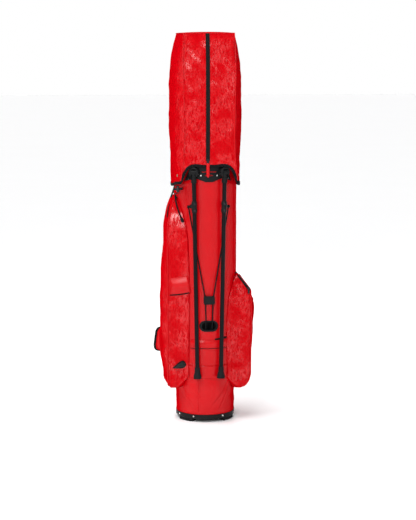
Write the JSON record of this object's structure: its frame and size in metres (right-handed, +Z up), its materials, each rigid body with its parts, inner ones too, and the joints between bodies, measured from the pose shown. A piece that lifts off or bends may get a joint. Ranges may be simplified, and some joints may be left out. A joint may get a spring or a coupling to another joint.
{
  "type": "golf stand bag",
  "caption": "Golf stand bag with a lift-off zipped travel hood, side pockets and two folding legs worked by a hinged heel in the base.",
  "frame": {"origin": "on the floor, at the ground pad under the middle of the base, on the axis of the bag's tube", "axes": "+Z up along the bag; -Y is the front, with the legs; -X is the long apparel pocket, +X the ball pocket"},
  "size_m": [0.345, 0.285, 1.317],
  "materials": {
    "black_plastic": "satin moulded nylon",
    "rubber": "matt",
    "steel": "bright nickel",
    "black_tube": "black anodised, satin",
    "black_rod": "black coated",
    "red_leather": "smooth coated leather",
    "crinkle_leather": "embossed, glossy",
    "black_webbing": "woven polyester",
    "pad_fabric": "air mesh over foam",
    "divider_fabric": "fleece-lined",
    "brass": "aged",
    "zip_metal": "black nickel"
  },
  "bodies": {
    "bag": {"base_cup": "black_plastic", "rear_feet": "rubber", "base_rivets": "steel", "heel_hinge_pin": "steel", "boot": "red_leather", "body_shell": "red_leather", "grommet": "black_plastic", "collar": "black_plastic", "divider_top": "black_plastic", "full_length_dividers": "divider_fabric", "rod_channel": "black_plastic", "leg_strap": "red_leather", "leg_strap_tab": "black_webbing", "stand_head_bracket": "black_plastic", "bracket_screws": "steel", "leg_springs": "steel", "leg_pivot_pins": "steel", "apparel_pocket": "crinkle_leather", "apparel_pocket_panel": "crinkle_leather", "ball_pocket": "crinkle_leather", "ball_pocket_panel": "crinkle_leather", "umbrella_band": "red_leather", "umbrella_cup": "black_plastic", "side_handle": "red_leather", "back_pad": "pad_fabric", "shoulder_strap_right": "pad_fabric", "shoulder_strap_left": "pad_fabric", "strap_webbing": "black_webbing", "lift_handle": "red_leather", "pull_ring": "steel", "pull_cord": "black_webbing", "cord_toggle": "black_plastic", "apparel_zip": "black_webbing", "ball_zip": "black_webbing"},
    "heel_flap": {"heel": "black_plastic", "heel_feet": "rubber", "heel_rivets": "steel"},
    "right_leg": {"leg_ferrule_right": "black_plastic", "leg_tube_right": "black_tube", "leg_foot_right": "rubber", "leg_bracket_right": "black_plastic", "bracket_pins_right": "steel"},
    "left_leg": {"leg_ferrule_left": "black_plastic", "leg_tube_left": "black_tube", "leg_foot_left": "rubber", "leg_bracket_left": "black_plastic", "bracket_pins_left": "steel"},
    "right_rod": {"upper_rod_right": "black_rod"},
    "left_rod": {"upper_rod_left": "black_rod"},
    "actuator": {"rod_clip": "black_plastic", "push_rods": "black_rod"},
    "hood": {"hood_shell": "crinkle_leather", "hood_binding": "black_webbing", "hood_zip": "black_webbing", "hood_snaps": "brass"},
    "hood_slider": {"hood_zip_slider": "zip_metal"},
    "hood_puller": {"hood_zip_puller": "red_leather"},
    "apparel_slider": {"apparel_zip_slider": "zip_metal"},
    "ball_slider": {"ball_zip_slider": "zip_metal"}
  },
  "joints": [
    {"name": "leg_swing", "type": "hinge", "parent": "bag", "child": "right_leg", "pos_m": [0.052, -0.116, 0.858], "axis": [-0.9125, -0.4091, 0], "range_deg": [0, 32], "stiffness_Nm_per_rad": 1.6, "springref_deg": -68.75},
    {"name": "leg_swing_left", "type": "hinge", "parent": "bag", "child": "left_leg", "pos_m": [-0.052, -0.116, 0.858], "axis": [-0.9125, 0.4091, 0], "range_deg": [0, 32]},
    {"name": "rod_pivot_right", "type": "hinge", "parent": "right_leg", "child": "right_rod", "pos_m": [0.068, -0.096, 0.742], "axis": [-0.9125, -0.4091, 0], "range_deg": [-42.6, 0]},
    {"name": "rod_pivot_left", "type": "hinge", "parent": "left_leg", "child": "left_rod", "pos_m": [-0.068, -0.096, 0.742], "axis": [-0.9125, 0.4091, 0], "range_deg": [-42.6, 0]},
    {"name": "push_rod_slide", "type": "slide", "parent": "bag", "child": "actuator", "axis": [0, -0.3338, 0.9426], "range_m": [0, 0.0183]},
    {"name": "heel_tilt", "type": "hinge", "parent": "bag", "child": "heel_flap", "pos_m": [0, -0.014, 0.023], "axis": [-1, 0, 0], "range_deg": [0, 15.6], "deforming": ["boot"]},
    {"name": "hood_lift", "type": "slide", "parent": "bag", "child": "hood", "axis": [0, 0, 1], "range_m": [0, 0.12]},
    {"name": "hood_zip_run", "type": "slide", "parent": "hood", "child": "hood_slider", "axis": [0, 0, 1], "range_m": [0, 0.33]},
    {"name": "hood_pull_swing", "type": "hinge", "parent": "hood_slider", "child": "hood_puller", "pos_m": [-0.005, -0.123, 0.891], "axis": [-1, 0, 0], "range_deg": [0, 150]},
    {"name": "apparel_zip_run", "type": "slide", "parent": "bag", "child": "apparel_slider", "axis": [0, 0, -1], "range_m": [0, 0.49]},
    {"name": "ball_zip_run", "type": "slide", "parent": "bag", "child": "ball_slider", "axis": [-0.5989, -0.1426, 0.788], "range_m": [0, 0.045]}
  ],
  "couplings": [
    {"joint": "leg_swing_left", "follows": "leg_swing", "ratio": 1},
    {"joint": "rod_pivot_right", "follows": "leg_swing", "ratio": -1.33},
    {"joint": "rod_pivot_left", "follows": "leg_swing", "ratio": -1.33},
    {"joint": "push_rod_slide", "follows": "leg_swing", "m_per_rad": 0.032676},
    {"joint": "heel_tilt", "follows": "leg_swing", "ratio": 0.48438}
  ]
}
